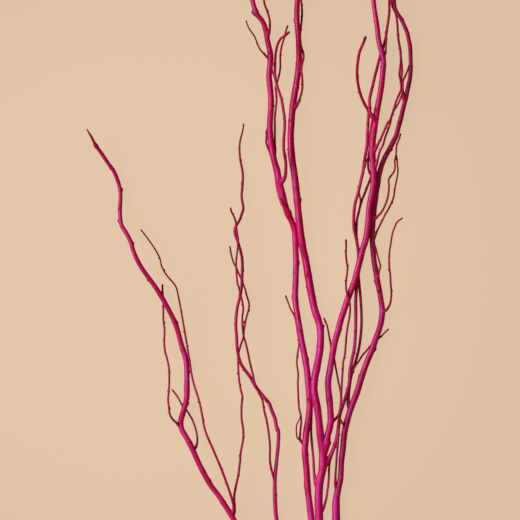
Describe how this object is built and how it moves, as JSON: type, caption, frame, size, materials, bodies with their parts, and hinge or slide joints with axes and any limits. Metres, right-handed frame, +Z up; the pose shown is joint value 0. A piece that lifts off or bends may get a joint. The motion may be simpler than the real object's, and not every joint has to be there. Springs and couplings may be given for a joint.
{
  "type": "bunch of dyed curly willow stems",
  "caption": "Loose bunch of long, thin, wavy willow stems with forks and curling side shoots and magenta-dyed bark, lying flat on a surface.",
  "frame": {"origin": "middle of the bunch's outline, on the surface it lies on", "axes": "+Y along the stems from the cut butts to the tips, +X to the right when looking down with the tips away, +Z up"},
  "size_m": [0.3943, 1.1952, 0.0578],
  "materials": {
    "left_bark": "satin dyed bark, magenta pink going to brown-red on the thin shoots",
    "slender_bark": "satin dyed bark, crimson pink going to brown-red on the thin shoots",
    "middle_bark": "satin dyed bark, magenta pink going to brown-red on the thin shoots",
    "thick_bark": "satin dyed bark, bright magenta going to crimson and brown-red on the thin shoots",
    "right_bark": "satin dyed bark, magenta going to crimson and brown-red on the thin shoots"
  },
  "bodies": {
    "root": {"left_stem": "left_bark", "slender_stem": "slender_bark", "middle_stem": "middle_bark", "thick_stem": "thick_bark", "right_stem": "right_bark"}
  },
  "joints": []
}
